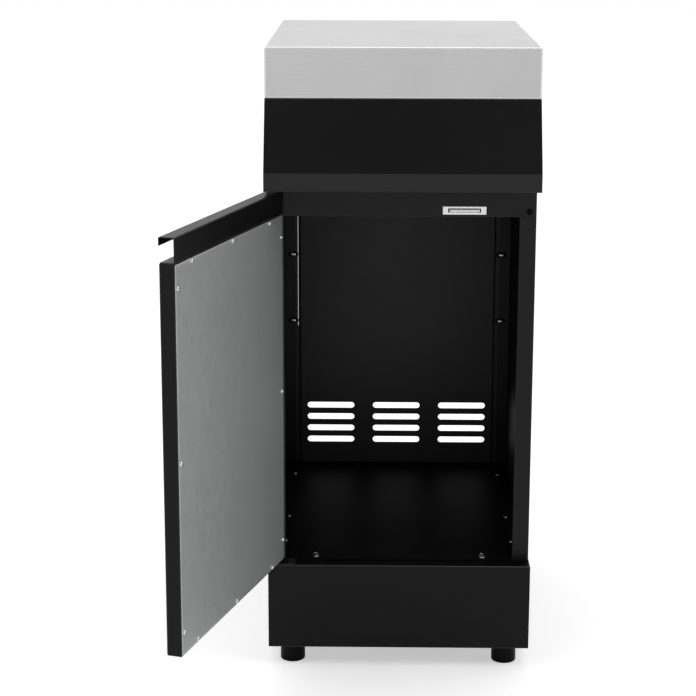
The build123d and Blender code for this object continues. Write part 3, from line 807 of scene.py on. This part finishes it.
# The new piece, the CAD node it replaces, the way it looks, its shape and material, the body
# it rides on, its slot, and whether it stays level. Their order is that of the random spins
FASTENERS = (
    ("liner_screw_heads", "liner_screws", INTO_DOORWAY, LINER_SCREW, ZINC,
     "door", "zinc_fixing", False),
    ("floor_screw_heads", "floor_screws", UP, FLOOR_SCREW, ZINC,
     "carcass", "zinc_fixing", False),
    ("worktop_screw_heads", "worktop_screws", DOWN, CARCASS_SCREW, ZINC,
     "carcass", "zinc_fixing", False),
    ("fascia_screw_heads", "fascia_screws", FRONT, CARCASS_SCREW, ZINC,
     "carcass", "zinc_fixing", False),
    ("back_panel_rivet_heads", "back_panel_rivets", FRONT, RIVET_HEAD, BLACK_PLASTIC,
     "carcass", "black_plastic", True),
    ("upper_hinge_screw_heads", "upper_hinge_screws", DOWN, HINGE_SCREW, BLACK_FIXING,
     "carcass", "black_fixing", False),
    ("lower_hinge_screw_heads", "lower_hinge_screws", UP, HINGE_SCREW, BLACK_FIXING,
     "carcass", "black_fixing", False),
    ("floor_bolt_heads", "floor_bolts", UP, FLOOR_BOLT, ZINC,
     "carcass", "zinc_fixing", False),
    ("door_bumper_button", "door_bumper", FRONT, DOOR_BUMPER, RUBBER,
     "carcass", "bumper_rubber", False),
)
for row in FASTENERS:
    fasteners(*row)


def rivet_ends():
    """The spread ends of the push rivets behind the panel, and the pins in their heads."""
    tails, pins = bmesh.new(), bmesh.new()
    for seat in seats("back_panel_rivets", FRONT):
        placed(tails, RIVET_SPREAD, seat + REAR * RIVETED_THICKNESS, REAR)
        placed(pins, RIVET_PIN, seat, FRONT)
    piece("back_panel_rivet_tails", tails, BLACK_PLASTIC, "carcass")
    piece("back_panel_rivet_pins", pins, ZINC, "carcass")


rivet_ends()

STUD_RADIUS = 5.0 * MM
STUD_HEAD_FLATS = 16.9 * MM
POCKET_FLATS = 17.2 * MM
POCKET_DEPTH = 7.0 * MM


def levelling_foot(place):
    """One foot's pad and its threaded stud."""
    low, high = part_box(f"foot_pad_{place}")
    stud_low, stud_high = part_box(f"foot_stud_{place}")
    middle = (low + high) / 2
    base = Vector((middle.x, middle.y, 0))
    pad = sized(foot_pad, (high.x - low.x) / 2, high.z, POCKET_FLATS, POCKET_DEPTH)
    head = (stud_low.z, high.z)
    stud = sized(threaded_stud, STUD_RADIUS, STUD_HEAD_FLATS, head, stud_high.z)
    for kind, shape, node, material, slot in (
        ("foot_pad_moulding", pad, "foot_pad", BLACK_PLASTIC, "black_plastic"),
        ("foot_stud_thread", stud, "foot_stud", ZINC, "zinc_fixing"),
    ):
        bm = bmesh.new()
        placed(bm, shape, base, UP)
        piece(f"{kind}_{place}", bm, material, f"foot_{place}", (f"{node}_{place}",))


for end in ("front", "rear"):
    for side in ("left", "right"):
        levelling_foot(f"{end}_{side}")

CATCH_BAR_ROUNDING = 1.7 * MM


def catch_bar():
    """The magnet's plated bar, rounded on its front, in the catch's window."""
    low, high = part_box("catch_magnet")
    size = high - low
    bm = bmesh.new()
    bmesh.ops.create_cube(bm, size=1)
    bm.transform(Matrix.Translation((low + high) / 2) @ Matrix.Diagonal((*size, 1)))
    front = [e for e in bm.edges if all(v.co.y < (low.y + high.y) / 2 for v in e.verts)]
    bmesh.ops.bevel(
        bm, geom=front, offset=CATCH_BAR_ROUNDING, offset_type="OFFSET", segments=5,
        profile=0.5, affect="EDGES",
    )
    piece("catch_magnet_bar", bm, NICKEL, "carcass", ("catch_magnet",))


catch_bar()


# ---------------------------------------------------------------- floor, light and camera
FLOOR_HALF_WIDTH = 14.0
FLOOR_SQUARES = 8
floor_mesh = bmesh.new()
bmesh.ops.create_grid(
    floor_mesh, x_segments=FLOOR_SQUARES, y_segments=FLOOR_SQUARES, size=FLOOR_HALF_WIDTH,
)
object_of("studio_floor", floor_mesh, studio_floor())

# The world's level as light from behind and from in front, and how much darker its ceiling is
LIGHT_BEHIND = 1.0
LIGHT_IN_FRONT = 0.62
CEILING_SHADE = 0.55

# Between which parts of the way looked the light and the ceiling fade: Y for the first two,
# and Z for the ceiling's height
LIGHT_FADE = (0.25, -0.75)
CEILING_AHEAD = (-0.1, -0.6)
CEILING_HEIGHT = (0.2, 0.42)


def studio_world():
    """White where it is seen, and where it is mirrored too but for a dark ceiling in front.

    As light it is softer in front than behind.
    """
    world = bpy.data.worlds.new("studio")
    scene.world = world
    world.use_nodes = True
    tree = world.node_tree
    tree.nodes.clear()

    def node(kind, inputs):
        return add_node(tree, kind, inputs).outputs[0]

    def fitted(value, low, high, to_low=0.0, to_high=1.0):
        return node("MapRange", {
            "Value": value, "From Min": low, "From Max": high,
            "To Min": to_low, "To Max": to_high,
        })

    def calculated(operation, first, second):
        return add_node(tree, "Math", {0: first, 1: second}, operation=operation).outputs[0]

    generated = add_node(tree, "TexCoord").outputs["Generated"]
    way = add_node(tree, "SeparateXYZ", {0: generated}).outputs
    rays = add_node(tree, "LightPath").outputs
    light = fitted(way[1], *LIGHT_FADE, LIGHT_BEHIND, LIGHT_IN_FRONT)
    ahead, high = fitted(way[1], *CEILING_AHEAD), fitted(way[2], *CEILING_HEIGHT)
    ceiling = calculated("MULTIPLY", ahead, high)
    level = calculated("SUBTRACT", light, calculated("MULTIPLY", ceiling, CEILING_SHADE))
    not_ceiling = calculated("SUBTRACT", 1.0, ceiling)
    mirrored = calculated("MULTIPLY", rays["Is Glossy Ray"], not_ceiling)
    seen = calculated("MAXIMUM", rays["Is Camera Ray"], rays["Is Transmission Ray"])
    seen = calculated("MAXIMUM", seen, mirrored)
    studio = node("Background", {"Color": WHITE, "Strength": level})
    white = node("Background", {"Color": WHITE, "Strength": 1.0})
    mixed = node("MixShader", {0: seen, 1: studio, 2: white})
    add_node(tree, "OutputWorld", {"Surface": mixed})


studio_world()

# The place, target, width and height in metres, and the power of each soft light
SOFTBOXES = {
    "softbox_left": ((-1.7, -1.6, 3.1), (0.15, 0.1, 0.5), (1.4, 1.8), 12),
    "softbox_right": ((2.0, -1.4, 3.1), (0.15, 0.1, 0.5), (1.4, 1.8), 13),
    "softbox_above": ((0.2, 0.6, 3.2), (0.16, 0.2, 0.9), (1.6, 1.6), 11),
}


def softbox(name, place, target, size, power):
    light = bpy.data.lights.new(name, "AREA")
    light.shape = "RECTANGLE"
    light.size, light.size_y = size
    light.energy = power
    made = bpy.data.objects.new(name, light)
    made.location = place
    made.rotation_mode = "QUATERNION"
    made.rotation_quaternion = (Vector(target) - Vector(place)).to_track_quat("-Z", "Y")
    scene.collection.objects.link(made)


for name, settings in SOFTBOXES.items():
    softbox(name, *settings)

# The camera, fitted to the photo: its place, its yaw, pitch and roll in degrees, its focal
# length in pixels of a picture of the given width, and its shift as a share of that
PICTURE_PIXELS = 696
CAMERA_PLACE = (0.1256, -2.7301, 1.1796)
CAMERA_TURNS = (-0.853, 12.954, 0.110)
CAMERA_FOCAL_PIXELS = 1872.3
CAMERA_SHIFT = -0.05


def camera():
    """Stands where the photograph was taken from, with a long lens."""
    yaw, pitch, roll = (math.radians(a) for a in CAMERA_TURNS)
    ahead = Vector((
        math.sin(yaw) * math.cos(pitch), math.cos(yaw) * math.cos(pitch), -math.sin(pitch),
    ))
    right = Vector((math.cos(yaw), -math.sin(yaw), 0))
    up = right.cross(ahead)
    across = right * math.cos(roll) + up * math.sin(roll)
    upright = up * math.cos(roll) - right * math.sin(roll)
    data = bpy.data.cameras.new("camera")
    data.sensor_width = 36.0
    data.lens = CAMERA_FOCAL_PIXELS / PICTURE_PIXELS * data.sensor_width
    data.shift_y = CAMERA_SHIFT
    made = bpy.data.objects.new("camera", data)
    made.matrix_world = Matrix((
        (across.x, upright.x, -ahead.x, CAMERA_PLACE[0]),
        (across.y, upright.y, -ahead.y, CAMERA_PLACE[1]),
        (across.z, upright.z, -ahead.z, CAMERA_PLACE[2]),
        (0, 0, 0, 1),
    ))
    scene.collection.objects.link(made)
    scene.camera = made


camera()

scene.view_settings.view_transform = "Standard"
